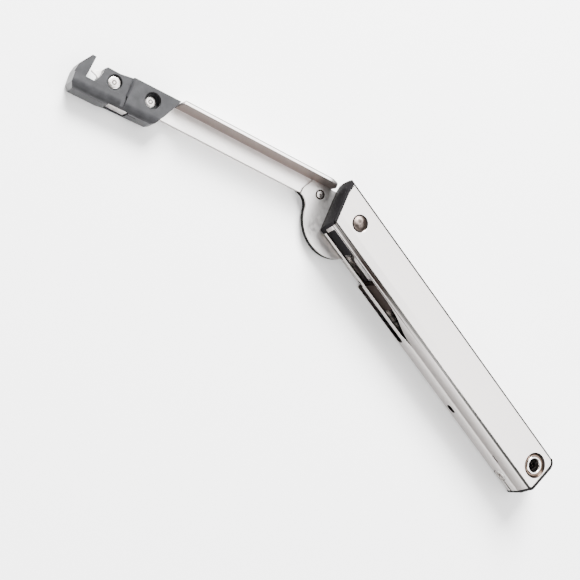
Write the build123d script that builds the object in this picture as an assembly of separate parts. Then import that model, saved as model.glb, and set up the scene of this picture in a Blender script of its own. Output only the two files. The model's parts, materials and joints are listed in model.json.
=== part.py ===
from build123d import *
import math
import os

# Spring-assisted lid stay, lying on its rear face.
# Origin: axis of the mount bush, on the rear face. +X runs from the bush to the arm's pivot,
# +Z from the rear housing to the front cover, +Y towards the side on which the arm folds.

# ---- Driving dimensions, mm and degrees ----
pivot_distance = 149.0      # bush axis to arm pivot
body_width = 20.0           # along Y
body_depth = 22.0           # along Z, rear face to front face
seam_height = 10.4          # where the housing's walls meet the cover's
sheet = 1.0                 # housing and cover
bend_radius = 1.5           # outside bends of housing and cover
fit_gap = 0.05              # pieces that seat in each other
run_gap = 0.1               # faces that pass each other
end_overhang = 7.4          # front cover beyond the bush axis
end_radius = 2.4            # lower end's plan corner on the folding side
end_far_radius = 4.2        # and on the other side
end_rim = 0.9               # plug showing beyond the metal
guide_rim = 1.1             # guide's end face beyond the cover's
guide_set_back = 2.4        # that face curves back by this towards the rear
cover_end_slope = 0.345     # lower end leans outwards towards the rear
housing_end_slope = 0.17
top_reach = 13.8            # cover beyond the pivot, at the corner of its top end
rear_reach = 10.9           # and the housing
top_flat = -4.5             # that corner's place across the width
top_slant = 24.0            # slant of the end on the folding side of the corner, degrees
top_far_slant = 11.3        # and on the other side
near_wall_reach = 4.9       # cover's wall on the folding side, beyond the pivot at the seam
near_wall_lean = 2.4        # that wall's end leans out by this up to the bend

window_start = 84.0         # side window: where it leaves the seam
window_full = 114.0         # where it has its full height
window_rim = 18.0           # height of its upper edge
window_cheek = 3.8          # its far end, beyond the pivot
housing_cheek = 3.4         # and the housing's wall's end
relief_start = 83.0         # shallower relief of the housing's wall under the window
relief_full = 92.0
slot_start = 86.6           # long slot for the arm's web
slot_width = 4.1
near_notch = 28.0           # arm's notch in the near wall, back from the pivot
far_notch = 21.0            # and in the far wall
key_slot = (44.3, 4.4)      # small slot in the near wall, along X and Z
key_slot_size = (5.2, 3.2)
seam_notch = (12.0, 4.6, 1.2)   # place, length and height of the cover's pry notch

open_angle = 27.0           # arm direction at rest, from +X
fold_range = 145.0          # rest to folded
arm_sheet = 1.4
web_rear = 2.9              # rear face of the arm's web
web_near = 5.3              # web's free edge, from the pivot line
web_far = 14.6              # flange's outer face, from the pivot line
flange_top = 16.2
flange_root = 11.6          # flange's start along the arm
flange_round = 7.6
arm_reach = 129.0           # web's end inside the hook

cam_rear = 1.7
cam_plate = 1.0
cam_start_radius = 20.6     # cam radius on the arm line
cam_fall = 2.72             # drop of the cam radius per radian
cam_hub_radius = 9.0
roller_radius = 4.0
cam_gap = 0.1
axle_radius = 2.5
axle_head_radius = 3.3
axle_head_height = 1.0
sleeve_wall = 1.2
cam_rivet_radius = 2.3
cam_rivet_head = 0.3
cam_rivet_places = ((15.9, -8.5), (-5.0, 8.0))

bush_bore_radius = 3.05
bush_radius = 4.0
dimple_radius = 6.2
dimple_depth = 0.9
screw_height = 4.35
screw_head_radius = 3.2
screw_radius = 1.95

spring_radius = 7.5         # outside
spring_wire = 1.9
spring_pitch = 7.4
rod_radius = 3.0
slider_length = 15.0
tongue_sheet = 2.0
roller_pin_radius = 1.5

hook_overlap = 35.4         # arm's web inside the hook
hook_rear = 0.6
hook_front = 11.2
hook_pocket = 1.7           # depth of the recess round the first rivet
hook_edge_round = 4.2       # broad rounding of the front half's edge on the folding side
hook_edge_turn = 1.8        # that edge's line turns from the arm's by this, degrees
hook_rivet_u = (11.6, 28.9)   # along the hook from its root
hook_rivet_v = -9.45
hook_rivet_radii = (2.5, 2.75)
hook_rivet_holes_radii = (3.6, 3.25)
hook_rivet_seats = (7.4, 8.0)
hook_shank_radius = 1.25
latch_sheet = 1.2
latch_travel = 4.2
latch_tab_rear = 1.2        # finger tab's rear end

# ---- Sizes that follow ----
half_width = body_width / 2
cavity_half = half_width - sheet
mid_depth = body_depth / 2
web_front = web_rear + arm_sheet
cam_front = web_front + cam_plate
guide_rear = cam_front + run_gap
cavity_rear = sheet + fit_gap
cavity_front = body_depth - sheet - fit_gap
notch_front = cam_front + 1.0
pitch_radius = cam_start_radius + roller_radius
roller_rest = pitch_radius - cam_fall * math.radians(180 - open_angle)
roller_x = pivot_distance - roller_rest
slider_front = roller_x - roller_radius - 7.0
slider_rear = slider_front - slider_length
block_front = 13.0
hook_root = arm_reach - hook_overlap
flange_end = hook_root - 0.2
at_rest = Pos(pivot_distance, 0, 0) * Rot(0, 0, open_angle)
at_hook = at_rest * Pos(hook_root, 0, 0)


def block(x0, x1, y0, y1, z0, z1):
    """Box between two corners."""
    return Pos((x0 + x1) / 2, (y0 + y1) / 2, (z0 + z1) / 2) * Box(x1 - x0, y1 - y0, z1 - z0)


def rod(x, y, radius, z0, z1):
    """Cylinder along Z."""
    return Pos(x, y, (z0 + z1) / 2) * Cylinder(radius, z1 - z0)


def prism(points, z0, z1):
    """Polygon in plan, raised from z0 to z1."""
    outline = Polyline(*points, close=True)
    return Pos(0, 0, z0) * extrude(make_face(outline), z1 - z0)


def side_prism(points, y0, y1):
    """Polygon of (x, z) points, extruded along Y from y0 to y1."""
    outline = Polyline(*points, close=True)
    face = Plane.XZ.offset(-y1) * make_face(outline)
    return extrude(face, y1 - y0)


def lean_block(face, z_top, z_low, slope):
    """Plan face dropped from z_top to z_low, its end leaning outwards by slope."""
    drop = z_top - z_low
    path = Vector(-slope * drop, 0, -drop)
    return extrude(Pos(0, 0, z_top) * face, path.length, dir=path.normalized())


def end_region(overhang, half, length):
    """Plan of a strip with two rounded corners at its lower end."""
    strip = Rectangle(length, 2 * half)
    strip = Pos(length / 2 - overhang, 0) * strip
    far_corner = strip.vertices().sort_by(Axis.X)[:2].sort_by(Axis.Y)[0]
    strip = fillet(far_corner, end_far_radius)
    near_corner = strip.vertices().sort_by(Axis.Y)[-2:].sort_by(Axis.X)[0]
    return fillet(near_corner, end_radius)


# ---- Housing and cover ----
length_all = pivot_distance + 40
cover_plan = end_region(end_overhang, half_width, length_all)
seam_overhang = end_overhang + cover_end_slope * (body_depth - seam_height)
housing_plan = end_region(seam_overhang, half_width, length_all)
rim_plan = end_region(end_overhang + end_rim, half_width - fit_gap, length_all)
rim_seam_plan = end_region(seam_overhang + end_rim, half_width - fit_gap, length_all)
cover_space = lean_block(cover_plan, body_depth, seam_height, cover_end_slope)
housing_space = lean_block(housing_plan, seam_height, 0, housing_end_slope)


def round_long_edges(solid, z, radius):
    """Rounds the two long outside bends at height z."""
    level = solid.edges().filter_by(Axis.X).filter_by(lambda e: abs(e.center().Z - z) < 0.01)
    return fillet(level, radius)


def slanted_top(reach, extra):
    """Everything beyond the slanted top end of the cover, to cut away."""
    lean = math.tan(math.radians(top_slant))
    far_lean = math.tan(math.radians(top_far_slant))
    corner = pivot_distance + reach + extra
    edge = half_width + 5
    return [(corner + far_lean * (edge + top_flat), -edge), (corner, top_flat),
            (corner - lean * (edge - top_flat), edge), (corner + 60, edge), (corner + 60, -edge)]


def near_side_end(gap):
    """What lies beyond the leaning end of the cover's wall on the folding side."""
    low = pivot_distance + near_wall_reach + gap
    far = pivot_distance + 60
    bend = body_depth - bend_radius - gap
    return [(low, seam_height - 2), (low + near_wall_lean, bend), (far, bend), (far, seam_height - 2)]


def make_front_cover():
    shell = round_long_edges(cover_space, body_depth, bend_radius)
    hollow = block(-60, length_all + 60, -cavity_half, cavity_half, seam_height - 1, body_depth - sheet)
    boss = rod(0, 0, dimple_radius + 0.6, body_depth - sheet - dimple_depth, body_depth - sheet)
    cover = shell - hollow + boss
    cover -= prism(slanted_top(top_reach, 0), 0, body_depth + 5)
    cover -= side_prism(near_side_end(0), cavity_half - 1, half_width + 1)
    cover -= make_window()
    notch_x, notch_length, notch_height = seam_notch
    cover -= block(notch_x - notch_length / 2, notch_x + notch_length / 2, cavity_half - 0.5,
                   half_width + 1, seam_height - 1, seam_height + notch_height)
    dimple = Pos(0, 0, body_depth - dimple_depth / 2 + 0.01) * Cone(
        bush_radius + 1.0, dimple_radius, dimple_depth)
    cover -= dimple
    cover -= rod(0, 0, bush_radius + fit_gap, body_depth - 5, body_depth + 1)
    recess = axle_head_radius + 0.8
    cover -= Pos(pivot_distance, 0, body_depth - 0.2) * Cone(axle_head_radius + 0.3, recess, 0.41)
    cover -= rod(pivot_distance, 0, axle_radius + fit_gap, body_depth - 5, body_depth + 1)
    return cover


def make_window():
    """Relief in the folding side's wall: a long window that tapers off towards the seam."""
    low = seam_height - 1
    cheek = pivot_distance + window_cheek
    start = (window_start, seam_height)
    finish = (window_full, window_rim)
    middle = (window_start + window_full) / 2
    curve = Bezier(start, (middle - 2, seam_height), (middle, window_rim), finish)
    far_top = (cheek + 1.2, window_rim)
    far_low = (cheek - 0.3, low)
    edges = [curve, Line(finish, far_top), Line(far_top, far_low),
             Line(far_low, (window_start, low)), Line((window_start, low), start)]
    face = Plane.XZ.offset(-half_width - 1) * make_face(Wire(edges))
    return extrude(face, 3.0)


def side_slot(x, z, length, width):
    """Round-ended slot through the wall on the folding side."""
    outline = extrude(SlotOverall(length, width), 2, both=True)
    return Pos(x, cavity_half + 1, z) * Rot(90, 0, 0) * outline


def make_rear_housing():
    shell = round_long_edges(housing_space, 0, bend_radius)
    hollow = block(-60, length_all + 60, -cavity_half, cavity_half, sheet, seam_height + 1)
    housing = shell - hollow
    housing -= prism(slanted_top(rear_reach, 0), -1, seam_height + 5)
    near_wall = (cavity_half - 0.9, half_width + 1)
    far_wall = (-half_width - 1, -cavity_half + 0.9)
    strip_top = notch_front + 2.0
    beyond = length_all + 60
    housing -= side_prism([(relief_start, seam_height + 1), (relief_start, seam_height),
                           (relief_full, strip_top), (beyond, strip_top),
                           (beyond, seam_height + 1)], *near_wall)
    housing -= block(pivot_distance + housing_cheek, beyond, *near_wall, -1, 30)
    notch_end = pivot_distance - near_notch
    housing -= block(notch_end, beyond, *near_wall, -1, notch_front)
    housing -= block(pivot_distance - far_notch, beyond, *far_wall, -1, notch_front)
    slot_z = (web_rear + web_front) / 2 - 0.3
    slot_length = notch_end - slot_start + 6
    slot_middle = slot_start + slot_length / 2
    housing -= side_slot(slot_middle, slot_z, slot_length, slot_width)
    housing -= side_slot(*key_slot, *key_slot_size)
    screw_hole = Pos(0, cavity_half + 1, screw_height) * Rot(90, 0, 0) * Cylinder(
        screw_head_radius + 0.2, 4)
    housing -= screw_hole
    housing -= block(-30, -screw_head_radius, cavity_half - 0.5, half_width + 1,
                     screw_height - 0.5, screw_height + 0.5)
    housing -= rod(0, 0, bush_radius + fit_gap, -1, sheet + 1)
    housing -= rod(pivot_distance, 0, axle_radius + fit_gap, -1, sheet + 1)
    housing -= Pos(pivot_distance, 0, 0.35) * Cone(axle_radius + 1.1, axle_radius, 0.71)
    return housing


def guide_end_waste():
    """What lies beyond the guide's end: a slanted face that curves back towards the rear."""
    front = (0, body_depth)
    middle = (-guide_set_back / 4, (body_depth + guide_rear) / 2)
    rear = (-guide_set_back, guide_rear)
    low = (60, guide_rear)
    high = (60, body_depth)
    outline = Wire([ThreePointArc(front, middle, rear), Line(rear, low), Line(low, high),
                    Line(high, front)])
    waste = extrude(Plane.XZ.offset(-60) * make_face(outline), 120)
    corner = Pos(pivot_distance + top_reach, top_flat, 0)
    return corner * Rot(0, 0, top_slant) * Pos(guide_rim, 0, 0) * waste


def make_top_end_guide():
    """Moulded filler between the cam and the cover, with the axle's hole."""
    start = pivot_distance - 10.5
    beyond = guide_end_waste()
    body = block(start, start + 60, -half_width, half_width, guide_rear, body_depth - 0.3)
    body -= beyond
    walls = block(-60, pivot_distance + 60, -60, -cavity_half + fit_gap, -1, 60)
    near_walls = block(-60, pivot_distance + 60, cavity_half - fit_gap, 60, -1, 60)
    near_walls -= side_prism(near_side_end(fit_gap), 0, 60) & block(0, 300, 0, 60, seam_height, 60)
    near_walls -= block(pivot_distance + housing_cheek + fit_gap, 300, 0, half_width, 0, seam_height)
    walls += near_walls
    cover_step = block(-60, pivot_distance + 60, -60, 60, cavity_front, 60)
    body -= walls
    body -= cover_step - prism(slanted_top(top_reach, fit_gap), -1, 60)
    tip_side = prism(slanted_top(top_reach, fit_gap), guide_rear, body_depth - 0.3)
    side_lip = block(pivot_distance, pivot_distance + 60, -half_width + 0.3, -cavity_half + fit_gap + 0.01,
                     guide_rear, body_depth - 0.3)
    side_lip = (side_lip & tip_side) - beyond
    body += side_lip
    body -= rod(pivot_distance, 0, axle_radius + fit_gap, 0, 60)
    return body


def make_bottom_end_plug():
    """Moulded plug: a core in the cavity and a rim that shows round the lower end."""
    core_face = -5.0
    front = lean_block(rim_plan, body_depth - 0.3, seam_height, cover_end_slope)
    rear = lean_block(rim_seam_plan, seam_height, 0.3, housing_end_slope)
    outer = (front + rear) & block(-60, core_face, -60, 60, -1, 60)
    metal = (cover_space + housing_space)
    rim = outer - metal
    core = (outer & metal) & block(-60, core_face, -cavity_half + fit_gap, cavity_half - fit_gap,
                                   cavity_rear, cavity_front)
    core -= rod(0, 0, dimple_radius + 0.7, body_depth - sheet - dimple_depth - fit_gap, 60)
    plug = rim + core
    return plug


# ---- Lower end: bush, block, lock screw ----
def make_mount_bush():
    tube = rod(0, 0, bush_radius, 0, body_depth - dimple_depth)
    tube += Pos(0, 0, body_depth - dimple_depth / 2) * Cone(bush_radius, bush_radius + 0.3, dimple_depth)
    tube -= rod(0, 0, bush_bore_radius, -1, 60)
    tube -= Pos(0, bush_radius, screw_height) * Rot(90, 0, 0) * Cylinder(1.6, 4)
    return tube


def make_bush_block():
    start = -4.8
    half = cavity_half - fit_gap
    body = block(start, block_front, -half, half, cavity_rear, cavity_front)
    spigot = Pos(block_front + 3, 0, mid_depth) * Rot(0, 90, 0) * Cylinder(
        spring_radius - spring_wire - 0.3, 6)
    body += spigot
    body -= rod(0, 0, bush_radius + fit_gap, -1, 60)
    body -= rod(0, 0, dimple_radius + 0.7, body_depth - sheet - dimple_depth - fit_gap, 60)
    body -= Pos(0, half_width, screw_height) * Rot(90, 0, 0) * Cylinder(screw_radius + fit_gap, 14)
    return body


def make_pin_lock_screw():
    """Cross-recessed screw, backed off so that its tip is flush with the bush's bore."""
    seat = cavity_half - fit_gap
    head = Pos(0, seat + 0.62, screw_height) * Rot(-90, 0, 0) * Cylinder(screw_head_radius, 1.2)
    head = fillet(head.edges().filter_by(GeomType.CIRCLE).sort_by(Axis.Y)[-1], 0.5)
    shank = Pos(0, (seat + bush_radius + 0.4) / 2, screw_height) * Rot(90, 0, 0) * Cylinder(
        screw_radius, seat - bush_radius - 0.4 + 0.1)
    tip_end = bush_bore_radius + 0.1
    tip = Pos(0, (tip_end + bush_radius + 0.5) / 2, screw_height) * Rot(90, 0, 0) * Cylinder(
        1.5, bush_radius + 0.5 - tip_end)
    screw = head + shank + tip
    for turn in (0, 90):
        arm = Box(3.6, 1.4, 0.8)
        screw -= Pos(0, seat + 0.9, screw_height) * Rot(0, 45 + turn, 0) * arm
    return screw


# ---- Pivot ----
def make_pivot_axle():
    shaft = rod(pivot_distance, 0, axle_radius, 0, body_depth - 0.2)
    foot = Pos(pivot_distance, 0, 0.35) * Cone(axle_radius + 1.05, axle_radius, 0.7)
    rise = axle_head_height
    cap_radius = (axle_head_radius ** 2 + rise ** 2) / (2 * rise)
    low = body_depth - 0.38
    ball = Pos(pivot_distance, 0, low + 0.25 + rise - cap_radius) * Sphere(cap_radius)
    head = rod(pivot_distance, 0, axle_head_radius, low, low + 0.25 + rise) & (
        ball + rod(pivot_distance, 0, axle_head_radius, low, low + 0.25))
    return shaft + foot + head


def make_pivot_washer():
    washer = rod(pivot_distance, 0, 6.0, sheet + fit_gap, cam_rear - run_gap)
    return washer - rod(pivot_distance, 0, axle_radius + fit_gap, 0, 10)


# ---- Arm and cam, in the arm's own frame: u along the arm, v towards the folding side ----
def cam_point(angle):
    """Cam edge: the roller's centre follows a spiral that falls evenly with the angle."""
    radius = pitch_radius - cam_fall * angle
    along = Vector(math.cos(angle), math.sin(angle))
    across = Vector(-math.sin(angle), math.cos(angle))
    normal = (along * radius + across * cam_fall).normalized()
    return along * radius - normal * (roller_radius + cam_gap)


def make_cam_outline():
    """Cam plan: spiral edge, round hub, straight back edge and a concave run into the arm."""
    first = math.radians(4)
    last = math.radians(172)
    steps = 14
    spiral = [cam_point(first + (last - first) * i / steps) for i in range(steps + 1)]
    start = spiral[0]
    hollow = start.Y + web_near
    hollow_end = Vector(start.X + hollow, -web_near)
    middle = Vector(start.X + hollow - hollow * math.sqrt(0.5), start.Y - hollow * math.sqrt(0.5))
    back = -(web_far - arm_sheet)
    corner = Vector(8.4, back)
    hub_leave = Vector(cam_hub_radius * math.cos(math.radians(235)),
                       cam_hub_radius * math.sin(math.radians(235)))
    edges = [Spline(*spiral), Line(spiral[-1], hub_leave), Line(hub_leave, corner),
             Line(corner, Vector(hollow_end.X, back)), Line(Vector(hollow_end.X, back), hollow_end),
             ThreePointArc(hollow_end, middle, start)]
    return make_face(Wire(edges))


cam_outline = make_cam_outline()
sleeve_radius = axle_radius + fit_gap + sleeve_wall


def arm_bores():
    bores = rod(0, 0, sleeve_radius, -1, 60)
    for u, v in cam_rivet_places:
        bores += rod(u, v, cam_rivet_radius - 0.4, -1, 60)
    return bores


def make_arm_channel():
    """L-section: flat web with a tongue over the hub, and a flange with a rounded root."""
    back = -(web_far - arm_sheet)
    tongue = make_hull((Circle(cam_hub_radius + 0.4).edges() + Polyline(
        (24, -6.2), (24, back)).edges()))
    web = Pos(0, 0, web_rear) * extrude(make_face(tongue), arm_sheet)
    web += block(20, arm_reach, -web_far + 1.8, -web_near, web_rear, web_front)
    web -= prism([(10, -web_near + 5), (20.5, -web_near - 0.01), (26, -web_near + 5)], 0, 1)
    flange_face = make_face(Wire([
        Line((flange_root, web_rear), (flange_root, flange_top - flange_round)),
        ThreePointArc((flange_root, flange_top - flange_round),
                      (flange_root + flange_round * 0.293, flange_top - flange_round * 0.293),
                      (flange_root + flange_round, flange_top)),
        Line((flange_root + flange_round, flange_top), (flange_end, flange_top)),
        Line((flange_end, flange_top), (flange_end, web_rear)),
        Line((flange_end, web_rear), (flange_root, web_rear))]))
    flange = extrude(Plane.XZ.offset(-back) * flange_face, arm_sheet)
    foot = block(flange_root, flange_end, -web_far, back + 0.6, web_rear, web_front)
    arm = flange + foot
    bend = arm.edges().filter_by(Axis.X).filter_by(
        lambda e: abs(e.center().Z - web_rear) < 0.01 and abs(e.center().Y + web_far) < 0.01)
    arm = fillet(bend, arm_sheet)
    arm += web
    return arm - arm_bores() - Pos(hook_root, 0, 0) * hook_rivet_holes()


def make_cam_block(arm_local):
    block_solid = Pos(0, 0, cam_rear) * extrude(cam_outline, web_front - cam_rear)
    block_solid -= arm_bores()
    return block_solid - arm_local


def make_cam_front_plate():
    plate = Pos(0, 0, web_front) * extrude(cam_outline, cam_plate)
    back = -(web_far - arm_sheet)
    end = prism([(25.1, -web_near + 2), (24.7, -8.0), (22.0, back + 0.8), (22.0, back - 2), (40, back - 2),
                 (40, -web_near + 2)], web_front - 1, cam_front + 1)
    return plate - end - arm_bores()


def make_cam_rivets():
    shank = cam_rivet_radius - 0.4
    rivets = []
    for (u, v), rise in zip(cam_rivet_places, (cam_rivet_head, run_gap / 2)):
        body = rod(u, v, shank, cam_rear, cam_front)
        head = rod(u, v, cam_rivet_radius, cam_front, cam_front + rise)
        head -= Pos(u, v, cam_front + rise) * Cone(0.2, 0.7, 0.3)
        rivets.append(at_rest * (body + head))
    return Compound(children=rivets)


def make_pivot_sleeve():
    sleeve = rod(0, 0, sleeve_radius, cam_rear, cam_front)
    return sleeve - rod(0, 0, axle_radius + fit_gap, -1, 60)


# ---- Hook, in its own frame: u from its root on the arm, v as the arm ----
mouth_near = 34.7
mouth_far = 40.4
seat_v = -5.2
window = (18.4, 28.0)       # opening in the underside, along u
spring_pocket = (7.2, 14.8)


def make_hook_outline():
    """Hook plan: body over the arm's end, a pin seat open at the back edge, and a pointed nose."""
    points = [(0, -14.9), (22.2, -14.7), (28.0, -13.7), (33.9, -13.8), (mouth_near + 0.3, -12.5),
              (mouth_near, -10.9), (35.8, -7.7), (36.8, seat_v - 0.5), (38.4, seat_v - 0.1),
              (40.8, seat_v - 0.8), (mouth_far, -8.8), (mouth_far - 0.5, -15.5), (41.6, -15.6),
              (45.3, -9.8), (45.9, -6.5), (45.6, -1.0), (44.0, 1.1), (31.4, 1.0), (26.8, 0.3),
              (8.6, -0.3), (6.8, -1.4), (5.2, -4.4), (4.6, -5.4)]
    return make_face(Polyline(*points, close=True))


hook_outline = make_hook_outline()


def hook_rivet_holes():
    holes = rod(hook_rivet_u[0], hook_rivet_v, hook_shank_radius, -1, 20)
    return holes + rod(hook_rivet_u[1], hook_rivet_v, hook_shank_radius, -1, 20)


def make_hook_rear_half():
    half = Pos(0, 0, hook_rear) * extrude(hook_outline, web_front - hook_rear)
    half -= block(-9, hook_overlap + fit_gap, -30, -web_near + fit_gap, web_rear - fit_gap, 20)
    opening_rear = latch_tab_rear - run_gap
    half -= block(*window, -1.6, 10, opening_rear, 20)
    half -= block(window[0] - latch_travel - 0.4, window[1], -1.75, -0.45, opening_rear, 20)
    half -= block(window[0] - latch_travel, window[1] + 0.1, -5.3, -1.2, web_front - 0.3, 20)
    return half - hook_rivet_holes()


def hook_edge_waste():
    """What the broad rounding takes off the front edge on the folding side."""
    line = Pos(31.4, 1.0, 0) * Rot(0, 0, hook_edge_turn)
    centre = hook_front - hook_edge_round
    strip = block(-60, 60, -hook_edge_round, 5, centre, hook_front + 1)
    strip -= Pos(0, -hook_edge_round, centre) * Rot(0, 90, 0) * Cylinder(hook_edge_round, 200)
    return line * strip


def make_hook_front_half():
    half = Pos(0, 0, web_front) * extrude(hook_outline, hook_front - web_front)
    half -= block(-9, hook_overlap, -30, -web_near, 0, web_front + fit_gap)
    channel_top = web_front + latch_sheet + 0.3
    half -= block(18.6 - latch_travel, 37.4, -12.9, -5.1, 0, channel_top)
    half -= block(window[0] - latch_travel, window[1] + 0.1, -5.3, -0.9, 0, 8.2)
    half -= block(window[0] - latch_travel - 0.4, window[1], -1.75, -0.45, 0, 8.2)
    half -= block(*spring_pocket, -5.1, -1.1, 0, 8.2)
    half -= block(*window, -1.6, 10, 0, 9.4)
    half -= block(window[0] - latch_travel, window[0] + 0.2, -0.8, 10, 6.4, 7.1)
    floor = hook_front - hook_pocket
    pocket = [(60, -5.5), (33, -5.3), (24.0, -5.6), (22.4, -5.8), (22.4, -30), (60, -30)]
    half -= prism(pocket, floor, hook_front + 1)
    valley = [(24.6, floor), (21.6, hook_front + 0.01), (24.6, hook_front + 0.01)]
    half -= side_prism(valley, -30, -5.6)
    groove = [(21.9, -6.0), (24.4, -6.0), (23.7, -0.9), (22.0, -1.2)]
    half -= prism(groove, floor, hook_front + 1)
    half -= rod(hook_rivet_u[0], hook_rivet_v, hook_rivet_holes_radii[0], hook_rivet_seats[0], 20)
    half -= rod(hook_rivet_u[1], hook_rivet_v, hook_rivet_holes_radii[1], hook_rivet_seats[1], 20)
    return half - hook_edge_waste() - hook_rivet_holes()


def make_hook_rivets():
    rivets = []
    for u, seat, radius in zip(hook_rivet_u, hook_rivet_seats, hook_rivet_radii):
        body = rod(u, hook_rivet_v, hook_shank_radius, hook_rear, seat)
        head = rod(u, hook_rivet_v, radius, seat, seat + 0.6)
        head = chamfer(head.edges().filter_by(GeomType.CIRCLE).sort_by(Axis.Z)[-1], 0.2)
        rivets.append(at_hook * (body + head))
    return Compound(children=rivets)


def make_slide_latch():
    """Sheet latch on the web: nose across the pin seat, slot on the rivet, tab in the underside."""
    z0 = web_front + 0.1
    z1 = z0 + latch_sheet
    tail = window[0] + 0.6
    tab_end = window[1] - 0.6
    nose = prism([(18.6, -12.6), (33.0, -12.6), (34.9, -12.75), (36.4, -12.0), (38.8, -10.8),
                  (38.8, -10.3), (36.3, -9.5), (35.0, -8.4), (33.4, -5.7), (18.6, -5.7)], z0, z1)
    foot = block(tail + 2.8, tab_end, -6.0, -0.6, z0, z1)
    tab = block(tail, tab_end, -1.7, -0.5, latch_tab_rear, 7.6)
    lug = block(tail + 2.8, tail + 3.8, -4.9, -0.6, z0, 7.6)
    latch = nose + foot + tab + lug
    slot_width = 2 * hook_shank_radius + 0.2
    slot = SlotOverall(slot_width + latch_travel + 0.2, slot_width)
    latch -= Pos(hook_rivet_u[1] + latch_travel / 2, hook_rivet_v, z0 - 1) * extrude(slot, 5)
    return latch


def coil(length, pitch, radius, wire_radial, wire_axial):
    """Rectangular-wire compression spring along +X, starting at the origin."""
    height = length - wire_axial
    path = Helix(pitch, height, radius)
    section = Plane(origin=path @ 0, x_dir=(1, 0, 0), z_dir=path % 0) * Rectangle(wire_radial, wire_axial)
    spring = sweep(section, path, is_frenet=True)
    return Pos(wire_axial / 2, 0, 0) * Rot(0, 90, 0) * spring


# ---- Slider ----
def make_slider_block():
    half = cavity_half - run_gap
    body = block(slider_rear, slider_front, -half, half, sheet + run_gap, body_depth - sheet - run_gap)
    body -= block(slider_front - 9, slider_front + 1, -5.6, 5.6, 0, cam_front + 0.3 + tongue_sheet)
    body -= Pos(slider_rear, 0, mid_depth) * Rot(0, 90, 0) * Cylinder(rod_radius + fit_gap, 12)
    return body


def make_slider_plate():
    z0 = cam_front + 0.3
    plate = block(slider_front - 9 + fit_gap, roller_x + 3.2, -5.5, 5.5, z0, z0 + tongue_sheet)
    ends = plate.edges().filter_by(Axis.Z).sort_by(Axis.X)[-2:]
    plate = fillet(ends, 3.0)
    return plate - rod(roller_x, 0, roller_pin_radius, -1, 60)


def make_roller_pin():
    z0 = sheet + 0.2
    pin = rod(roller_x, 0, roller_pin_radius, z0, cam_front + 0.3 + tongue_sheet)
    return pin + rod(roller_x, 0, roller_pin_radius + 1.0, z0, z0 + 0.5)


def make_cam_roller():
    roller = rod(roller_x, 0, roller_radius, sheet + 0.8, cam_front + 0.1)
    return roller - rod(roller_x, 0, roller_pin_radius + fit_gap, -1, 60)


def make_spring_guide_rod():
    start = block_front + 14
    end = slider_rear + 6
    return Pos((start + end) / 2, 0, mid_depth) * Rot(0, 90, 0) * Cylinder(rod_radius, end - start)


def make_lift_spring():
    start = block_front + fit_gap
    length = slider_rear - fit_gap - start
    mean = spring_radius - spring_wire / 2
    spring = coil(length, spring_pitch, mean, spring_wire, spring_wire * 0.8)
    return Pos(start, 0, mid_depth) * spring


def make_latch_spring():
    start = spring_pocket[0] + fit_gap
    length = window[0] + 3.4 - 2 * fit_gap - start
    return Pos(start, -3.4, 6.3) * coil(length, 1.9, 1.35, 0.45, 0.45)


# ---- Write every piece ----
arm_channel = make_arm_channel()
pieces = {
    "rear_housing": make_rear_housing(),
    "front_cover": make_front_cover(),
    "top_end_guide": make_top_end_guide(),
    "bottom_end_plug": make_bottom_end_plug(),
    "mount_bush": make_mount_bush(),
    "bush_block": make_bush_block(),
    "pin_lock_screw": make_pin_lock_screw(),
    "pivot_axle": make_pivot_axle(),
    "pivot_washer": make_pivot_washer(),
    "slider_block": make_slider_block(),
    "slider_plate": make_slider_plate(),
    "roller_pin": make_roller_pin(),
    "cam_roller": make_cam_roller(),
    "spring_guide_rod": make_spring_guide_rod(),
    "lift_spring": make_lift_spring(),
    "arm_channel": at_rest * arm_channel,
    "cam_block": at_rest * make_cam_block(arm_channel),
    "cam_front_plate": at_rest * make_cam_front_plate(),
    "cam_rivets": make_cam_rivets(),
    "pivot_sleeve": at_rest * make_pivot_sleeve(),
    "hook_rear_half": at_hook * make_hook_rear_half(),
    "hook_front_half": at_hook * make_hook_front_half(),
    "hook_rivets": make_hook_rivets(),
    "slide_latch": at_hook * make_slide_latch(),
    "latch_spring": at_hook * make_latch_spring(),
}
os.makedirs("parts", exist_ok=True)
for name, piece in pieces.items():
    export_step(piece, f"parts/{name}.step")
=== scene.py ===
import json
import math

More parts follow.
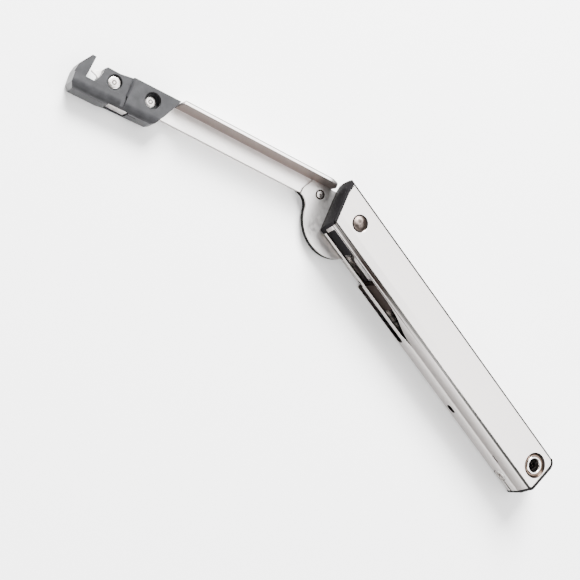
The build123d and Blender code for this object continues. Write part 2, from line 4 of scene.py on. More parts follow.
import bmesh
import bpy
import numpy as np
from mathutils import Matrix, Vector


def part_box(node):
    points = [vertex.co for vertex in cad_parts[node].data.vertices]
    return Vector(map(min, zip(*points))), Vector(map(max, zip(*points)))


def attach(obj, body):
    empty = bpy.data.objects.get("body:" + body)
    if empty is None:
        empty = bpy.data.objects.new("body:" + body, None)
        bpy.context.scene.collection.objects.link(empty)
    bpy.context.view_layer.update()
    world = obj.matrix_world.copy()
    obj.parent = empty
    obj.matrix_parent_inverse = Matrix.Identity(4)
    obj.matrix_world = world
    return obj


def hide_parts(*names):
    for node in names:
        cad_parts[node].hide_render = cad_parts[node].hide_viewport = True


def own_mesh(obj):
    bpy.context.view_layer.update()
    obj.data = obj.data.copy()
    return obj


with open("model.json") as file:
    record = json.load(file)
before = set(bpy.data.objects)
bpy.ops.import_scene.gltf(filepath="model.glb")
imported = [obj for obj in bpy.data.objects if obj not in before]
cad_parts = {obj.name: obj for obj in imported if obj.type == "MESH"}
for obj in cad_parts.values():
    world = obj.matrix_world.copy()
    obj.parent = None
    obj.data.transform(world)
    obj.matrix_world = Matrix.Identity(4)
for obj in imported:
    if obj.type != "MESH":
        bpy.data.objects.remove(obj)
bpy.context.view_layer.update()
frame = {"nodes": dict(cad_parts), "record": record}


# ---------------------------------------------------------------------------
# The table: a broad sheet of white sweep paper, laid flat under the stay.
# It lies a fifth of a millimetre below the stay's rear face, so the two never share a plane.
# ---------------------------------------------------------------------------
def linear(code):
    """An sRGB hex colour turned to linear RGBA: each channel is undone from the sRGB curve."""
    channels = np.array([int(code[i:i + 2], 16) for i in (1, 3, 5)]) / 255.0
    low = channels / 12.92
    high = ((channels + 0.055) / 1.055) ** 2.4
    return (*np.where(channels <= 0.04045, low, high), 1.0)


def add_node(tree, kind, settings=None, **sockets):
    """Adds a node, sets its properties, and fills or links its sockets by name or number."""
    node = tree.nodes.new(kind)
    for key, value in (settings or {}).items():
        setattr(node, key, value)
    for key, value in sockets.items():
        place = int(key[1:]) if key[1:].isdigit() else key.replace("_", " ")
        if isinstance(value, bpy.types.NodeSocket):
            tree.links.new(value, node.inputs[place])
        else:
            node.inputs[place].default_value = value
    return node


def new_material(name):
    """A material with an empty node tree, and that tree."""
    material = bpy.data.materials.new(name)
    material.use_nodes = True
    material.node_tree.nodes.clear()
    return material, material.node_tree


def surface(name, points, faces, smooth=True):
    """A mesh object at the origin, from rows of points and a list of faces."""
    mesh = bpy.data.meshes.new(name)
    mesh.from_pydata(np.asarray(points, dtype=float).tolist(), [], faces)
    mesh.polygons.foreach_set("use_smooth", [smooth] * len(mesh.polygons))
    mesh.update()
    piece = bpy.data.objects.new(name, mesh)
    bpy.context.scene.collection.objects.link(piece)
    return piece


table_half = 3.0
table_level = -0.0002
table_corners = np.array([(-1, -1), (1, -1), (1, 1), (-1, 1)]) * table_half
table = surface("table", np.column_stack([table_corners, np.full(4, table_level)]),
                [(0, 1, 2, 3)], smooth=False)

# White paper: matt, so it takes a soft shadow and mirrors nothing.
sweep_paper, tree = new_material("matt_sweep_paper")
paper = add_node(tree, "ShaderNodeBsdfPrincipled", Base_Color=linear("#FBFBFB"), Roughness=0.9,
                 Specular_IOR_Level=0.1)
add_node(tree, "ShaderNodeOutputMaterial", Surface=paper.outputs[0])
table.data.materials.append(sweep_paper)

# ---------------------------------------------------------------------------
# The light: plain and soft, from a dim white room and four soft boxes.
# Polished sheet shows what it mirrors, so the boxes are placed for what each face looks out to.
# Places and sizes are in metres, and powers in watts.
# ---------------------------------------------------------------------------
room = bpy.data.worlds.new("studio")
bpy.context.scene.world = room
room.use_nodes = True
room.node_tree.nodes.clear()
tree = room.node_tree
glow = add_node(tree, "ShaderNodeBackground", Color=linear("#F4F3F2"), Strength=0.5)
add_node(tree, "ShaderNodeOutputWorld", Surface=glow.outputs[0])


def facing(place, aim, roll=0.0):
    """A pose at place that looks at aim: back = place - aim, side = Y x back, rise = back x side.

    roll then turns it about the line of sight, in degrees.
    """
    back = np.subtract(place, aim)
    back /= np.linalg.norm(back)
    side = np.cross((0.0, 1.0, 0.0), back)
    side /= np.linalg.norm(side)
    pose = np.eye(4)
    pose[:3] = np.stack([side, np.cross(back, side), back, place], axis=1)
    return Matrix(pose.tolist()) @ Matrix.Rotation(math.radians(roll), 4, "Z")


def soft_box(name, place, aim, width, height, power):
    """A rectangular area light at place, turned to face aim."""
    lamp = bpy.data.lights.new(name, "AREA")
    lamp.shape = "RECTANGLE"
    lamp.size = width
    lamp.size_y = height
    lamp.energy = power
    box = bpy.data.objects.new(name, lamp)
    bpy.context.scene.collection.objects.link(box)
    box.matrix_world = facing(place, aim)


# The cover mirrors this long box over its whole length.
soft_box("overhead_box", (-0.20, -0.42, 1.0), (-0.20, -0.42, 0.0), 1.4, 0.48, 15.0)
# Stands on the folding side, opposite the side window.
soft_box("window_side_box", (0.0, 0.85, 0.80), (0.12, 0.0, 0.0), 0.9, 0.5, 12.0)
# Strong, and far off past the hook: the paper has most of its light from here.
soft_box("far_end_box", (0.95, -0.80, 0.95), (0.10, 0.0, 0.0), 0.7, 0.7, 145.0)
# Small and weak, for the folded corner of the arm.
soft_box("arm_fill_box", (-0.33, 0.015, 1.0), (-0.33, 0.015, 0.0), 0.18, 0.23, 3.2)

# ---------------------------------------------------------------------------
# The camera: a 70 mm lens half a metre off, above the folding side.
# It is rolled so that the housing runs down to the right and the arm up to the left.
# ---------------------------------------------------------------------------
lens = bpy.data.cameras.new("product_camera")
lens.sensor_width = 36.0
lens.lens = 70.08
camera = bpy.data.objects.new("product_camera", lens)
bpy.context.scene.collection.objects.link(camera)
camera.matrix_world = facing((0.28194, 0.21790, 0.45800), (0.14544, 0.04155, 0.01048), -133.348)
bpy.context.scene.camera = camera


# ---------------------------------------------------------------------------
# Cover and housing: two trays of rolled stainless sheet that meet partway up the side walls.
# Each is blanked, pressed and folded, and the sheet's fine grain runs along it.
# The bends, the dimple's flank and the recess's rim are drawn darker by colour, not by shape:
# painted shade and painted dark reflections.
# ---------------------------------------------------------------------------
def grained_finish(name, light, dark, roughness, grain, depth):
    """A material whose colour, roughness and relief all follow one stretched noise.

    grain is the size of the marks along X, Y and Z in millimetres, depth their relief in metres.
    Gives the material, its tree and the sockets for its colour, roughness and normal.
    """
    material, tree = new_material(name)
    place = add_node(tree, "ShaderNodeTexCoord")
    stretched = add_node(tree, "ShaderNodeMapping", None, Vector=place.outputs["Object"],
                         Scale=tuple(1000.0 / size for size in grain))
    marks = add_node(tree, "ShaderNodeTexNoise", None, Vector=stretched.outputs[0], Scale=1.0,
                     Detail=3.0)
    tint = add_node(tree, "ShaderNodeMix", {"data_type": "RGBA"}, _0=marks.outputs[0],
                    _6=linear(dark), _7=linear(light))
    noise_low, noise_high, swing = 0.3, 0.7, 0.04
    rough = add_node(tree, "ShaderNodeMapRange", None, Value=marks.outputs[0], _1=noise_low,
                     _2=noise_high, _3=roughness - swing, _4=roughness + swing)
    relief = add_node(tree, "ShaderNodeBump", None, Height=marks.outputs[0], Distance=depth,
                      Strength=0.5)
    return material, tree, tint.outputs[2], rough.outputs[0], relief.outputs[0]


def bowed(tree, relief, level, slope, curve):
    """Adds a side wall's slight bow to a relief: height = -slope h - curve h^2.

    h is the distance above level, in metres.
    """
    place = add_node(tree, "ShaderNodeTexCoord")
    parts = add_node(tree, "ShaderNodeSeparateXYZ", None, _0=place.outputs["Object"])
    rise = add_node(tree, "ShaderNodeMath", {"operation": "SUBTRACT"}, _0=parts.outputs[2],
                    _1=level)
    bend = add_node(tree, "ShaderNodeMath", {"operation": "MULTIPLY_ADD"}, _0=rise.outputs[0],
                    _1=-curve, _2=-slope)
    height = add_node(tree, "ShaderNodeMath", {"operation": "MULTIPLY"}, _0=rise.outputs[0],
                      _1=bend.outputs[0])
    bow = add_node(tree, "ShaderNodeBump", None, Height=height.outputs[0], Distance=1.0,
                   Strength=1.0, Normal=relief)
    return bow.outputs[0]


glancing_steel = "#5E524D"
# Glancing colour of the places with painted shade and dark reflections.
glancing_steel_in_painted_shade = "#141312"


def metal(name, light, dark, roughness, grain, depth=2e-6, bow=None, edge=glancing_steel,
          marks=None):
    """Bare metal. edge is its colour at a glancing angle; bow is bowed's level, slope and curve.

    marks is a function that paints shade and dark reflections into parts of the tint, and gives
    the mask of the places where the glancing colour goes dark too.
    """
    material, tree, tint, rough, relief = grained_finish(name, light, dark, roughness, grain, depth)
    if bow:
        relief = bowed(tree, relief, *bow)
    edge_tint = linear(edge)
    if marks:
        # marks paints shade and dark reflections into the tint; its mask darkens the glancing
        # colour there too.
        tint, painted_shade_mask = marks(tree, tint)
        edge_tint = add_node(tree, "ShaderNodeMix", {"data_type": "RGBA"}, _0=painted_shade_mask,
                             _6=edge_tint, _7=linear(glancing_steel_in_painted_shade)).outputs[2]
    skin = add_node(tree, "ShaderNodeBsdfPrincipled", Base_Color=tint, Metallic=1.0,
                    Roughness=rough, Normal=relief, Specular_Tint=edge_tint)
    add_node(tree, "ShaderNodeOutputMaterial", Surface=skin.outputs[0])
    return material


def within(tree, value, low, high, soft):
    """1 where low < value < high, in millimetres, falling to 0 over twice soft at both ends."""
    rising = add_node(tree, "ShaderNodeMapRange", None, Value=value,
                      _1=(low - soft) / 1000.0, _2=(low + soft) / 1000.0)
    falling = add_node(tree, "ShaderNodeMapRange", None, Value=value,
                       _1=(high + soft) / 1000.0, _2=(high - soft) / 1000.0)
    return add_node(tree, "ShaderNodeMath", {"operation": "MULTIPLY"}, _0=rising.outputs[0],
                    _1=falling.outputs[0]).outputs[0]


def ring_round(tree, place, centre, inner, outer, soft):
    """1 where the distance in plan from centre lies between inner and outer, in millimetres."""
    offset = add_node(tree, "ShaderNodeVectorMath", {"operation": "SUBTRACT"}, _0=place,
                      _1=(centre[0] / 1000.0, centre[1] / 1000.0, 0.0))
    flat = add_node(tree, "ShaderNodeVectorMath", {"operation": "MULTIPLY"},
                    _0=offset.outputs[0], _1=(1.0, 1.0, 0.0))
    radius = add_node(tree, "ShaderNodeVectorMath", {"operation": "LENGTH"}, _0=flat.outputs[0])
    return within(tree, radius.outputs["Value"], inner, outer, soft)


def painted_shade_mark(tree, tint, code, strength, *masks):
    """Paints shade and dark reflections: turns the tint to the colour code where all masks are 1.
    Gives it and strength x masks.
    """
    for mask in masks:
        strength = add_node(tree, "ShaderNodeMath", {"operation": "MULTIPLY"}, _0=strength,
                            _1=mask).outputs[0]
    tint = add_node(tree, "ShaderNodeMix", {"data_type": "RGBA"}, _0=strength, _6=tint,
                    _7=linear(code)).outputs[2]
    return tint, strength


def centre_of(node):
    """Middle of a node's box in plan, in millimetres."""
    low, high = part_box(node)
    return (low[0] + high[0]) * 500.0, (low[1] + high[1]) * 500.0


pivot = centre_of("pivot_axle")
cover_low, cover_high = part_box("front_cover")
seam_level = cover_low[2]
cover_face = cover_high[2] * 1000.0
cover_half = cover_high[1] * 1000.0


def painted_cover_shade(tree, tint):
    """Painted shade and dark reflections on the cover's bends, dimple flank, recess rim and window
    strip, in millimetres.
    """
    place = add_node(tree, "ShaderNodeTexCoord").outputs["Object"]
    along, across, height = add_node(tree, "ShaderNodeSeparateXYZ", None, _0=place).outputs
    window_wall = within(tree, across, cover_half / 2, cover_half * 2, 0.2)
    far_wall = within(tree, across, -cover_half * 2, -cover_half / 2, 0.2)
    bend_foot = cover_face - 2.0
    marks = (
        # the dimple's flank, round the bush: painted shade
        ("#54473F", 1.0, ring_round(tree, place, (0.0, 0.0), 4.40, 6.15, 0.05)),
        # the rim of the axle's recess: painted shadow
        ("#241F1D", 1.0, ring_round(tree, place, pivot, 3.30, 4.00, 0.05)),
        # the bend over the side window, fading out at both ends: a painted dark reflection
        ("#2A2422", 1.0, window_wall, within(tree, height, bend_foot, cover_face - 0.04, 0.06),
         within(tree, along, 95.0, 160.0, 25.0)),
        # a thin line along the outer edge of that bend: a painted dark reflection
        ("#211D1B", 0.7, window_wall,
         within(tree, height, cover_face - 0.7, cover_face - 0.04, 0.03)),
        # the bend on the far side: a painted dark reflection
        ("#3A3533", 0.9, far_wall, within(tree, height, bend_foot, cover_face - 0.02, 0.02)),
        # the strip of wall between the bend and the window: a painted dark reflection
        ("#2A2422", 1.0, window_wall,
         within(tree, height, cover_face - 3.7, cover_face - 2.8, 0.12),
         within(tree, along, 90.0, 170.0, 12.0)),
    )
    painted_shade_mask = 0.0
    for code, strength, *masks in marks:
        tint, mask = painted_shade_mark(tree, tint, code, strength, *masks)
        painted_shade_mask = add_node(tree, "ShaderNodeMath", {"operation": "MAXIMUM"}, _0=painted_shade_mask,
                          _1=mask).outputs[0]
    return tint, painted_shade_mask


record = frame["record"]
body_of = {node: body for body, nodes in record["behaviour"]["bodies"].items() for node in nodes}


def fit_piece(piece, node):
    """Puts a piece in a node's place: it joins the node's body, and the node is hidden."""
    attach(piece, body_of[node])
    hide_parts(node)


def dress(node, material, edge=0.12):
    """A merged copy of a solid, its flat faces whole and its sharp edges rounded.

    edge is the width of the rounding in millimetres.
    """
    same_place = 2e-6
    same_plane = math.radians(0.6)
    crease = math.radians(30.0)
    shape = bmesh.new()
    shape.from_mesh(frame["nodes"][node].data)
    bmesh.ops.remove_doubles(shape, verts=shape.verts, dist=same_place)
    bmesh.ops.dissolve_limit(shape, angle_limit=same_plane, verts=shape.verts, edges=shape.edges)
    mesh = bpy.data.meshes.new(node + "_finished")
    shape.to_mesh(mesh)
    shape.free()
    mesh.polygons.foreach_set("use_smooth", [True] * len(mesh.polygons))
    mesh.set_sharp_from_angle(angle=crease)
    piece = bpy.data.objects.new(node + "_finished", mesh)
    bpy.context.scene.collection.objects.link(piece)
    mesh.materials.append(material)
    rounding = piece.modifiers.new("rounded_edges", "BEVEL")
    rounding.width = edge / 1000.0
    rounding.segments = 2
    rounding.limit_method = "ANGLE"
    rounding.angle_limit = crease
    shading = piece.modifiers.new("flat_faces_stay_flat", "WEIGHTED_NORMAL")
    shading.mode = "FACE_AREA"
    shading.weight = 100
    shading.keep_sharp = True
    fit_piece(piece, node)


# Rolled stainless: a pale, faintly warm grey, soft in its reflections and streaked along the part.
# The real streaks are a few hundredths of a millimetre wide, too fine to show, so they are drawn
# 0.35 mm wide. The cover's side wall is shaded with a slight bow and the housing's with a lean;
# the solids' walls are flat.
rolled_light, rolled_dark, rolled_grain = "#BFBBB9", "#B3AFAD", (12.0, 0.35, 0.35)
cover_stainless = metal("cover_rolled_stainless", rolled_light, rolled_dark, 0.19, rolled_grain,
                        1.5e-6, bow=(seam_level, 0.0, 8.0), marks=painted_cover_shade)
housing_stainless = metal("housing_rolled_stainless", rolled_light, rolled_dark, 0.19,
                          rolled_grain, 1.5e-6, bow=(seam_level, 0.28, 0.0), edge="#8F847E")
dress("front_cover", cover_stainless)
dress("rear_housing", housing_stainless)


# ---------------------------------------------------------------------------
# End guide and end plug: black nylon mouldings pushed into the two ends of the housing.
# The guide fills the top end between the cam and the cover, and the plug closes the bush's end.
# ---------------------------------------------------------------------------
def plastic(name, light, dark, roughness, grain, depth, gloss, spark=None):
    """Moulded plastic; a gloss under 0.5 weakens its reflection.

    spark is the mould's spark-eroded texture: its size in millimetres and relief in metres.
    """
    material, tree, tint, rough, relief = grained_finish(name, light, dark, roughness, grain, depth)
    if spark:
        size, height = spark
        place = add_node(tree, "ShaderNodeTexCoord")
        pits = add_node(tree, "ShaderNodeTexNoise", None, Vector=place.outputs["Object"],
                        Scale=1000.0 / size)
        relief = add_node(tree, "ShaderNodeBump", None, Height=pits.outputs[0], Distance=height,
                          Strength=0.6, Normal=relief).outputs[0]
    skin = add_node(tree, "ShaderNodeBsdfPrincipled", Base_Color=tint, Roughness=rough,
                    Normal=relief, Specular_IOR_Level=gloss)
    add_node(tree, "ShaderNodeOutputMaterial", Surface=skin.outputs[0])
    return material


# Nylon from a polished mould: nearly black. The pale room would turn a normal gloss to grey, so
# almost none is left.
black_nylon = plastic("polished_black_nylon", "#201F20", "#181718", 0.22, (3.0, 3.0, 3.0), 4e-6,
                      0.001)
dress("top_end_guide", black_nylon, 0.4)
dress("bottom_end_plug", black_nylon, 0.3)


# ---------------------------------------------------------------------------
# Mounting bush and its lock screw: turned steel, nickel plated.
# The bush stands in its block, with a rounded lip in the cover's dimple, and takes the pin of the
# mounting plate. The screw, in the side wall, locks that pin.
# ---------------------------------------------------------------------------
def ring_faces(rings, steps, closed):
    """Quads between neighbouring rings of steps points each; closed joins the last to the first."""
    ring, step = np.meshgrid(np.arange(rings if closed else rings - 1), np.arange(steps),
                             indexing="ij")
    low, high = ring * steps, (ring + 1) % rings * steps
    after = (step + 1) % steps
    corners = np.stack([low + step, low + after, high + after, high + step], axis=2)
    return corners.reshape(-1, 4)


def turned(name, profiles, steps=72):
    """Solids of revolution about Z: point = centre + (r cos a, r sin a, h), a = 2 pi i / steps.

    profiles is a list of (centre, [(r, h), ...]) in millimetres, each profile closed on itself.
    The "lathe" UV map runs round the axis in U and along the profiles in V.
    """
    angle = 2 * math.pi * np.arange(steps) / steps
    spoke = np.stack([np.cos(angle), np.sin(angle)], axis=1)
    points = np.empty((0, 3))
    faces = np.empty((0, 4), dtype=int)
    for centre, profile in profiles:
        radius, height = np.array(profile).T
        plan = np.array(centre) + radius[:, None, None] * spoke
        level = np.broadcast_to(height[:, None, None], (len(profile), steps, 1))
        solid = np.concatenate([plan, level], axis=2).reshape(-1, 3) / 1000.0
        faces = np.concatenate([faces, len(points) + ring_faces(len(profile), steps, True)])
        points = np.concatenate([points, solid])
    piece = surface(name, points, faces.tolist())

    ring, step = np.divmod(np.arange(len(faces)), steps)
    across = (step[:, None] + np.array([0, 1, 1, 0])) / steps
    upward = (ring[:, None] + np.array([0, 0, 1, 1])) / len(faces)
    lathe = piece.data.uv_layers.new(name="lathe")
    lathe.data.foreach_set("uv", np.stack([across, upward], axis=2).astype(np.float32).ravel())

    same_place = 1e-7
    crease = math.radians(28.0)
    shape = bmesh.new()
    shape.from_mesh(piece.data)
    bmesh.ops.remove_doubles(shape, verts=shape.verts, dist=same_place)
    bmesh.ops.recalc_face_normals(shape, faces=shape.faces)
    shape.to_mesh(piece.data)
    shape.free()
    piece.data.set_sharp_from_angle(angle=crease)
    return piece


def arc(centre, radius, start, end, count=6):
    """Points of a profile's arc: centre + radius (cos t, sin t), t from start to end in degrees."""
    sweep = np.radians(np.linspace(start, end, count))
    return np.stack([centre[0] + radius * np.cos(sweep),
                     centre[1] + radius * np.sin(sweep)], axis=1).tolist()


# Bright nickel plate: light and faintly warm, the sharpest reflections on the stay.
bright_nickel = metal("bright_nickel_plate", "#D9D5D2", "#CBC7C4", 0.16, (2.0, 2.0, 2.0))

bush_bore = 3.05
bush_radius = 4.0
lip_foot = 20.6
lip_height = 21.25
lip_round = 0.42
bush_outline = ([(bush_bore, 0.0), (bush_radius, 0.0), (bush_radius, lip_foot)]
                + arc((bush_radius - 0.05, lip_height), lip_round, -20, 90)
                + arc((bush_bore + 0.57, lip_height), lip_round, 90, 150)
                + [(bush_bore, lip_foot + 0.1)])
bush = turned("mount_bush_turned", [((0.0, 0.0), bush_outline)])
bush.data.materials.append(bright_nickel)
fit_piece(bush, "mount_bush")
dress("pin_lock_screw", bright_nickel, 0.1)


# ---------------------------------------------------------------------------
# Pivot axle and its sleeve: the axle is turned steel with a bare domed head, faced on a lathe.
# It goes through both walls of the housing, and the plated sleeve on it is the arm's bearing.
# ---------------------------------------------------------------------------
def lathe_metal(name, light, dark, roughness, anisotropy):
    """Metal with fine turning marks, which draw its sheen out round the axis."""
    material, tree, tint, rough, relief = grained_finish(name, light, dark, roughness,
                                                         (1.2, 1.2, 1.2), 2e-6)
    round_axis = add_node(tree, "ShaderNodeTangent",
                          {"direction_type": "UV_MAP", "uv_map": "lathe"})
    skin = add_node(tree, "ShaderNodeBsdfPrincipled", Base_Color=tint, Metallic=1.0,
                    Roughness=rough, Normal=relief, Anisotropic=anisotropy,
                    Tangent=round_axis.outputs[0], Specular_Tint=linear(glancing_steel))
    add_node(tree, "ShaderNodeOutputMaterial", Surface=skin.outputs[0])
    return material


# Steel faced on a lathe: a dull brown grey, its sheen drawn out round the axis.
faced_steel = lathe_metal("lathe_faced_steel", "#6C615C", "#58504B", 0.38, 0.8)

axle_foot = 3.55
foot_height = 0.7
axle_shank = 2.5
axle_head = 3.3
head_seat = 21.55
dome_top = 22.87
dome_radius = 5.945
dome_start = 56.3
axle_outline = ([(0.0, 0.0), (axle_foot, 0.0), (axle_shank, foot_height),
                 (axle_shank, head_seat),
                 (axle_head - 0.1, head_seat + 0.07), (axle_head, head_seat + 0.17)]
                + arc((0.0, dome_top - dome_radius), dome_radius, dome_start, 90, 12))
axle = turned("pivot_axle_turned", [(pivot, axle_outline)])
axle.data.materials.append(faced_steel)
fit_piece(axle, "pivot_axle")
dress("pivot_sleeve", bright_nickel, 0.1)

# ---------------------------------------------------------------------------
# Bush block, slider block and washer: injection-moulded glass-filled nylon inside the housing.
# The bush block is fixed, the slider runs along the housing, and the washer sits on the axle.
# ---------------------------------------------------------------------------
# Glass-filled nylon: dull and brown-black, all that shows of it is the dark behind the window.
filled_nylon = plastic("glass_filled_nylon", "#2B2320", "#1D1715", 0.5, (0.6, 0.6, 0.6), 1e-5,
                       0.02)
for node in ("bush_block", "slider_block", "pivot_washer"):
    dress(node, filled_nylon)

# ---------------------------------------------------------------------------
# Roller, its pin and the spring's guide rod: turned and plated steel, bright as the bush.
# The roller turns on its pin in the slider plate and runs on the cam. The rod stands out from the
# slider into the lift spring and keeps it straight.
# ---------------------------------------------------------------------------
for node in ("roller_pin", "cam_roller", "spring_guide_rod"):
    dress(node, bright_nickel, 0.1)

# ---------------------------------------------------------------------------
# Arm: one strip of bright rolled stainless, blanked and folded to a tall flange along one edge.
# The flange's inside is drawn browner and the cut edges darker, by colour and not by shape: painted
# dark reflections.
# ---------------------------------------------------------------------------
arm_angle = math.radians(27.0)
flange_outer = -14.6
flange_inner = -13.2
flange_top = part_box("arm_channel")[1][2] * 1000.0
web_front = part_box("cam_front_plate")[0][2] * 1000.0
web_edge = -5.3


def on_arm(u, v):
    """Plan place, in millimetres, of a point u along the arm from the pivot and v across it."""
    return (pivot[0] + u * math.cos(arm_angle) - v * math.sin(arm_angle),
            pivot[1] + u * math.sin(arm_angle) + v * math.cos(arm_angle))


def painted_arm_shade(tree, tint):
    """Painted dark reflections: a browner inside of the flange, and darker cut edges of the flange
    and of the web.

    v, across the arm, is -(x - pivot x) sin + y cos of the arm's angle. Sizes in millimetres.
    """
    place = add_node(tree, "ShaderNodeTexCoord").outputs["Object"]
    height = add_node(tree, "ShaderNodeSeparateXYZ", None, _0=place).outputs[2]
    lean = add_node(tree, "ShaderNodeVectorMath", {"operation": "DOT_PRODUCT"}, _0=place,
                    _1=(-math.sin(arm_angle), math.cos(arm_angle), 0.0))
    across = add_node(tree, "ShaderNodeMath", {"operation": "ADD"}, _0=lean.outputs["Value"],
                      _1=pivot[0] / 1000.0 * math.sin(arm_angle)).outputs[0]
    # a painted dark reflection on the inside of the flange
    tint, _ = painted_shade_mark(tree, tint, "#A59D9A", 1.0,
                          within(tree, across, flange_inner - 0.25, flange_inner + 0.3, 0.03),
                          within(tree, height, web_front + 0.3, flange_top - 0.2, 0.06))
    # a painted dark line along the flange's outer rim
    tint, flange_rim = painted_shade_mark(
        tree, tint, "#2E2A28", 1.0,
        within(tree, across, flange_outer - 0.4, flange_outer + 0.35, 0.05),
        within(tree, height, flange_top - 0.5, flange_top + 0.8, 0.06))
    # a painted dark line along the web's cut edge
    tint, _ = painted_shade_mark(tree, tint, "#6B6460", 1.0,
                          within(tree, across, web_edge - 0.25, web_edge + 0.3, 0.05),
                          within(tree, height, web_front - 0.2, web_front + 0.7, 0.03))
    return tint, flange_rim


# Bright rolled stainless: nearly white, with a broad soft sheen; its streaks drawn 0.5 mm wide.
arm_stainless = metal("bright_folded_stainless", "#F6F3F1", "#EEEAE8", 0.38, (10.0, 0.5, 0.5),
                      1.5e-6, marks=painted_arm_shade)
dress("arm_channel", arm_stainless, 0.4)

# ---------------------------------------------------------------------------
# Slider plate and slide latch: small blanks of the same bright sheet, left flat.
# The plate carries the roller. The latch slides in the hook, with its nose in the notch and its
# tab in the hook's side.
# ---------------------------------------------------------------------------
# Bright rolled stainless, a shade greyer than the arm, with the same streaks.
sheet_stainless = metal("bright_rolled_stainless", "#F0EDEB", "#E6E2E0", 0.42, (10.0, 0.5, 0.5),
                        1.5e-6)
for node in ("slider_plate", "slide_latch"):
    dress(node, sheet_stainless)

# ---------------------------------------------------------------------------
# Cam plate and cam block: a blanked stainless plate riveted over a moulded acetal cam.
# Both turn with the arm, and the block's edge shows as a dark line round the plate.
# ---------------------------------------------------------------------------
# Stainless tumbled with stones after blanking: an even grey sheen with no direction.
plate_stainless = metal("tumbled_stainless_plate", "#D6D3D1", "#CBC8C6", 0.36, (1.2, 1.2, 1.2),
                        3e-6)
dress("cam_front_plate", plate_stainless)

# Acetal: smooth and black, with hardly any gloss left for the pale room to whiten.
cam_acetal = plastic("smooth_black_acetal", "#161514", "#100F0F", 0.3, (2.0, 2.0, 2.0), 4e-6,
                     0.01)
dress("cam_block", cam_acetal)


# ---------------------------------------------------------------------------
# Cam rivets: steel rivets that hold the cam plate and block on the arm.
# A ring punch upsets each head, which leaves a groove round it and a small mark in its middle.
# ---------------------------------------------------------------------------
def darken_rings(piece, centres, level, rings, material):
    """Gives a second material to the faces above level whose middle lies in one of the rings.

    A ring is (low, high), where low < distance in plan from a centre < high, in millimetres.
    """
    piece.data.materials.append(material)
    middle = np.empty(3 * len(piece.data.polygons), dtype=np.float32)
    piece.data.polygons.foreach_get("center", middle)
    middle = middle.reshape(-1, 3) * 1000.0
    away = np.linalg.norm(middle[:, None, :2] - np.array(centres), axis=2)
    ringed = np.any([(low < away) & (away < high) for low, high in rings], axis=(0, 2))
    dark = ringed & (middle[:, 2] > level)
    piece.data.polygons.foreach_set("material_index", dark.astype(np.int32))


# Rivet steel: bright, with a soft sheen round each head.
rivet_steel = lathe_metal("upset_rivet_steel", "#D8D4D1", "#B4AFAC", 0.28, 0.4)
# Dark steel: painted shade in the groove and over the rim round each cam rivet's head, and the
# marks in the middle of the heads.
groove_shade_and_mark_steel = metal("painted_groove_shade_and_mark_steel", "#4A423E", "#3A332F", 0.45, (1.0, 1.0, 1.0))

plate_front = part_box("cam_front_plate")[1][2] * 1000.0
rivet_foot = 1.7
rivet_shank = 1.9
# radius, and height as a share of the head's rise over the plate: rim, groove, land, middle mark
cam_head = ((2.3, 0.0), (2.25, 0.6), (2.05, 1.0), (1.9, 0.3), (1.72, 0.3), (1.6, 0.8), (0.6, 1.0),
            (0.45, 0.4), (0.0, 0.2))
# where each rivet stands, and how far its head rises over the plate
cam_rivet_places = ((on_arm(15.9, -8.5), 0.3), (on_arm(-5.0, 8.0), 0.05))
cam_rivet_outlines = []
for centre, head_rise in cam_rivet_places:
    head = [(radius, plate_front + share * head_rise) for radius, share in cam_head]
    shank = [(0.0, rivet_foot), (rivet_shank, rivet_foot), (rivet_shank, plate_front)]
    cam_rivet_outlines.append((centre, shank + head))
cam_rivets = turned("cam_rivets_turned", cam_rivet_outlines)
cam_rivets.data.materials.append(rivet_steel)
# The outer ring is painted shade over the groove and rim; the inner one is the middle mark.
darken_rings(cam_rivets, [centre for centre, outline in cam_rivet_outlines], plate_front - 0.01,
             ((1.62, 2.4), (0.0, 0.4)), groove_shade_and_mark_steel)
fit_piece(cam_rivets, "cam_rivets")

# ---------------------------------------------------------------------------
# Hook: two mouldings of grey glass-filled nylon, closed round the end of the arm.
# Two rivets hold them, and the front half has the notch, the window and the rivets' recesses.
# ---------------------------------------------------------------------------
# Dark grey nylon, clouded by flow marks a few millimetres across. The mould's spark texture is
# finer than a tenth of a millimetre and is drawn at a third of one, so that it shows.
hook_nylon = plastic("flow_marked_grey_nylon", "#353537", "#0D0D0F", 0.42, (4.0, 4.0, 4.0), 2e-5,
                     0.25, spark=(1 / 3, 1.2e-5))
dress("hook_front_half", hook_nylon, 0.35)
dress("hook_rear_half", hook_nylon, 0.35)

# ---------------------------------------------------------------------------
# Hook rivets: steel rivets through the hook and the arm, their heads sunk in the hook's recesses.
# The heads are upset, with a rounded rim and a shallow ring.
# ---------------------------------------------------------------------------
hook_root = 93.6
hook_rivet_foot = 0.6
hook_rivet_shank = 1.25
head_height = 0.6
ring_inner, ring_outer, ring_depth = 0.6, 0.95, 0.1
heads_above = 7.0       # only the heads have faces higher than this
rivet_line = -9.45
# distance from the hook's root, height of the head's seat and radius of the head
hook_rivet_sizes = ((11.6, 7.4, 2.5), (28.9, 8.0, 2.75))
hook_rivet_outlines = []
for u, seat, radius in hook_rivet_sizes:
    top = seat + head_height
    hook_rivet_outlines.append((on_arm(hook_root + u, rivet_line), [
        (0.0, hook_rivet_foot), (hook_rivet_shank, hook_rivet_foot), (hook_rivet_shank, seat),
        (radius, seat), (radius, top - 0.3), (radius - 0.12, top - 0.1), (radius - 0.35, top),
        (ring_outer + 0.1, top), (ring_outer, top - ring_depth), (ring_inner, top - ring_depth),
        (ring_inner - 0.1, top), (0.0, top)]))
hook_rivets = turned("hook_rivets_turned", hook_rivet_outlines)
hook_rivets.data.materials.append(rivet_steel)
darken_rings(hook_rivets, [centre for centre, outline in hook_rivet_outlines], heads_above,
             ((ring_inner, ring_outer),), groove_shade_and_mark_steel)
fit_piece(hook_rivets, "hook_rivets")
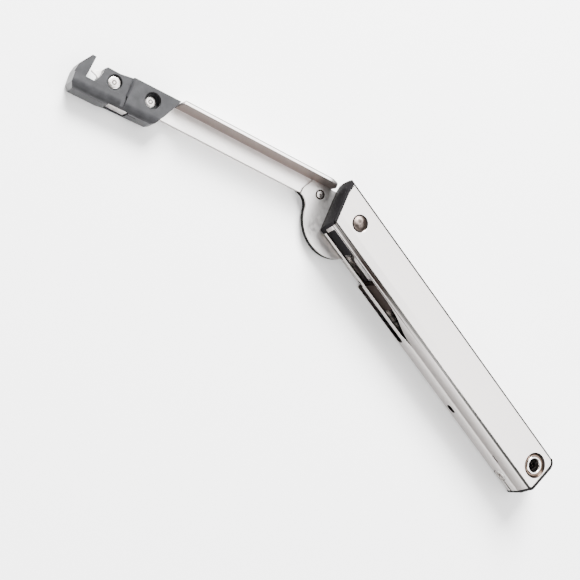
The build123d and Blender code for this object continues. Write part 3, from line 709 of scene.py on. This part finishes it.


# ---------------------------------------------------------------------------
# Lift spring: coiled from heavy rectangular wire and oiled, between the bush block and the slider.
# The real spring shortens towards the bush as the slider is pushed back; this coil is built at one
# length.
# ---------------------------------------------------------------------------
def coil(name, start, along, length, pitch, radius, width, depth, steps):
    """Point = start + (s + q) along + (radius + p) (across cos a + up sin a), a = 2 pi s / pitch.

    (p, q) runs round the wire's section, a width by depth rectangle with rounded corners. Sizes
    are in millimetres, and steps is the number of sections in a turn.
    """
    along, up = np.array(along), np.array((0.0, 0.0, 1.0))
    across = np.cross(up, along)

    corner = 0.3 * min(width, depth)
    side = np.array([(1, 1), (-1, 1), (-1, -1), (1, -1)])[:, None, :]
    bend = np.radians(np.arange(4)[:, None] * 90 + np.array([0, 45, 90]))
    corner_middle = side * (width / 2 - corner, depth / 2 - corner)
    section = corner_middle + corner * np.stack([np.cos(bend), np.sin(bend)], axis=2)
    p, q = section.reshape(-1, 2).T

    run = length - depth
    count = int(steps * run / pitch)
    s = np.linspace(0.0, run, count + 1)
    a = 2 * math.pi * s / pitch
    spoke = across * np.cos(a)[:, None] + up * np.sin(a)[:, None]
    lengthwise = (s[:, None] + q + depth / 2)[:, :, None] * along
    outward = (radius + p)[:, None] * spoke[:, None, :]
    points = (np.array(start) + lengthwise + outward).reshape(-1, 3) / 1000.0

    faces = ring_faces(count + 1, len(p), False).tolist()
    end_ring = np.arange(len(p))
    faces += [end_ring[::-1].tolist(), (count * len(p) + end_ring).tolist()]
    return surface(name, points, faces)


# Oiled spring wire: mid grey, with a soft sheen on each turn.
spring_wire = metal("oiled_spring_wire", "#6E6A66", "#5E5A56", 0.3, (1.0, 1.0, 1.0))

lift_start = (13.06, 0.0, 11.0)
lift_length = 92.5
lift_spring = coil("lift_spring_coil", lift_start, (1.0, 0.0, 0.0), lift_length, pitch=7.4,
                   radius=6.55, width=1.9, depth=1.52, steps=40)
lift_spring.data.materials.append(spring_wire)
fit_piece(lift_spring, "lift_spring")
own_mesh(lift_spring)

# ---------------------------------------------------------------------------
# Latch spring: a small coil of the same oiled wire, behind the latch inside the hook.
# The real spring shortens as the latch is drawn back towards the pivot; this coil is built at one
# length.
# ---------------------------------------------------------------------------
latch_start = (*on_arm(hook_root + 7.25, -3.4), 6.3)
latch_length = 14.45
latch_along = (math.cos(arm_angle), math.sin(arm_angle), 0.0)
latch_spring = coil("latch_spring_coil", latch_start, latch_along, latch_length, pitch=1.9,
                    radius=1.35, width=0.45, depth=0.45, steps=24)
latch_spring.data.materials.append(spring_wire)
fit_piece(latch_spring, "latch_spring")
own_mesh(latch_spring)
